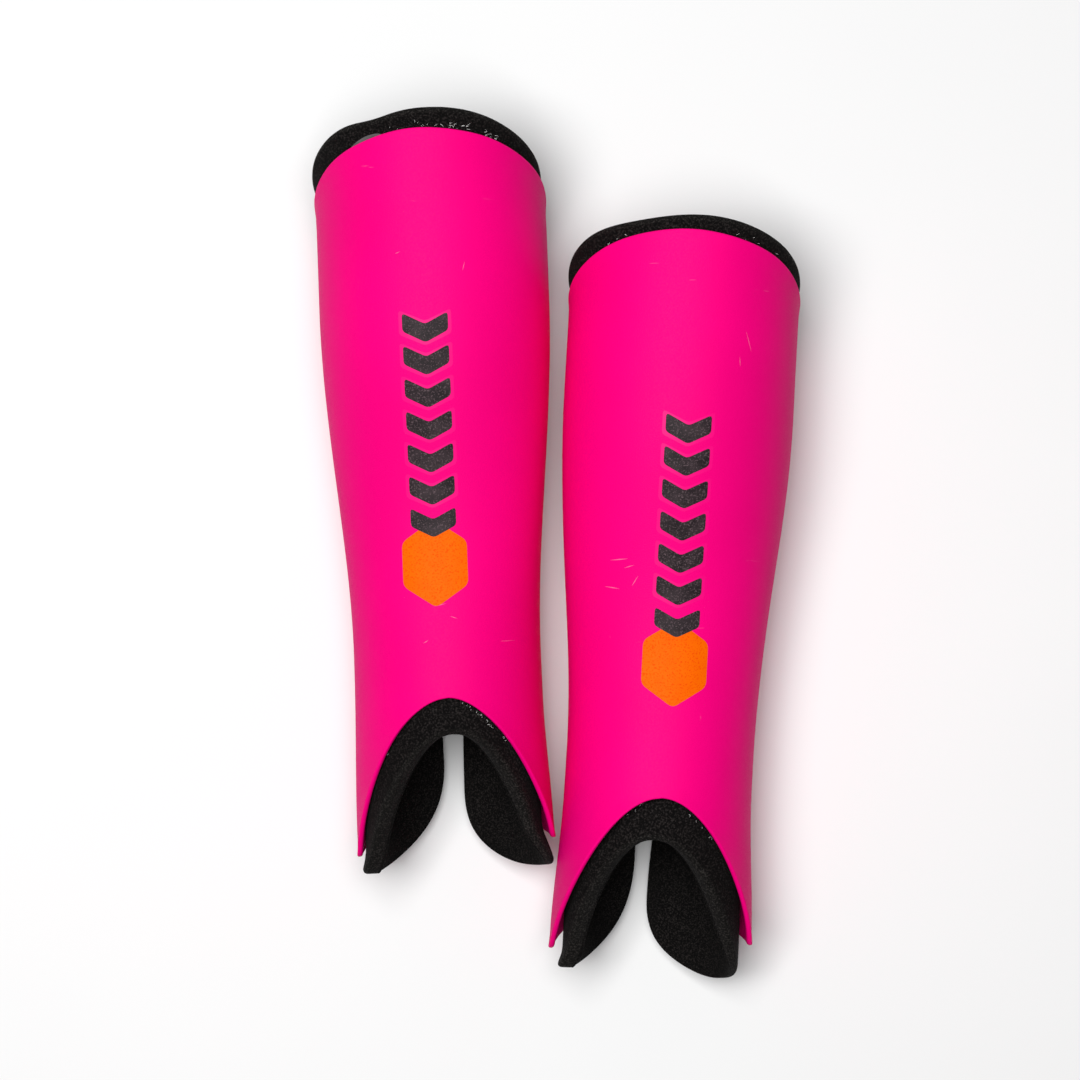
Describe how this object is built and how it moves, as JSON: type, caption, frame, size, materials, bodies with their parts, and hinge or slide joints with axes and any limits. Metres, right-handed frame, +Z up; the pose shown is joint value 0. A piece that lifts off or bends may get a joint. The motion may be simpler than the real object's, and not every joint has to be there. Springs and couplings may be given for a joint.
{
  "type": "pair of shin guards",
  "caption": "Matched pair of field hockey shin guards, each a moulded wrap-round shell with a removable foam liner, lying side by side on their backs.",
  "frame": {"origin": "on the surface the guards lie on, under the middle of the bounding box of the pair", "axes": "+X from the left guard to the right guard, +Y from the ankle ends to the knee ends, +Z up out of the fronts of the shins"},
  "size_m": [0.1904, 0.339, 0.0856],
  "materials": {
    "shell": "satin moulded plastic",
    "foam": "closed-cell foam faced with brushed knit",
    "lining": "brushed knit fabric",
    "hook_tape": "moulded hook tape",
    "loop_tape": "napped loop tape"
  },
  "bodies": {
    "left_guard": {"left_shell": "shell", "left_hook_upper_left": "hook_tape", "left_hook_upper_right": "hook_tape", "left_hook_lower_left": "hook_tape", "left_hook_lower_right": "hook_tape"},
    "left_liner": {"left_foam": "foam", "left_lining": "lining", "left_loop_upper_left": "loop_tape", "left_loop_upper_right": "loop_tape", "left_loop_lower_left": "loop_tape", "left_loop_lower_right": "loop_tape"},
    "right_guard": {"right_shell": "shell", "right_hook_upper_left": "hook_tape", "right_hook_upper_right": "hook_tape", "right_hook_lower_left": "hook_tape", "right_hook_lower_right": "hook_tape"},
    "right_liner": {"right_foam": "foam", "right_lining": "lining", "right_loop_upper_left": "loop_tape", "right_loop_upper_right": "loop_tape", "right_loop_lower_left": "loop_tape", "right_loop_lower_right": "loop_tape"}
  },
  "joints": [
    {"name": "left_liner_slide", "type": "slide", "parent": "left_guard", "child": "left_liner", "axis": [-0.0384, 0.9993, 0], "range_m": [0, 0.31]},
    {"name": "right_liner_slide", "type": "slide", "parent": "right_guard", "child": "right_liner", "axis": [0.0541, 0.9985, 0], "range_m": [0, 0.31]},
    {"name": "right_guard_slide", "type": "slide", "parent": "left_guard", "child": "right_guard", "axis": [1, 0, 0], "range_m": [0, 0.12]}
  ]
}
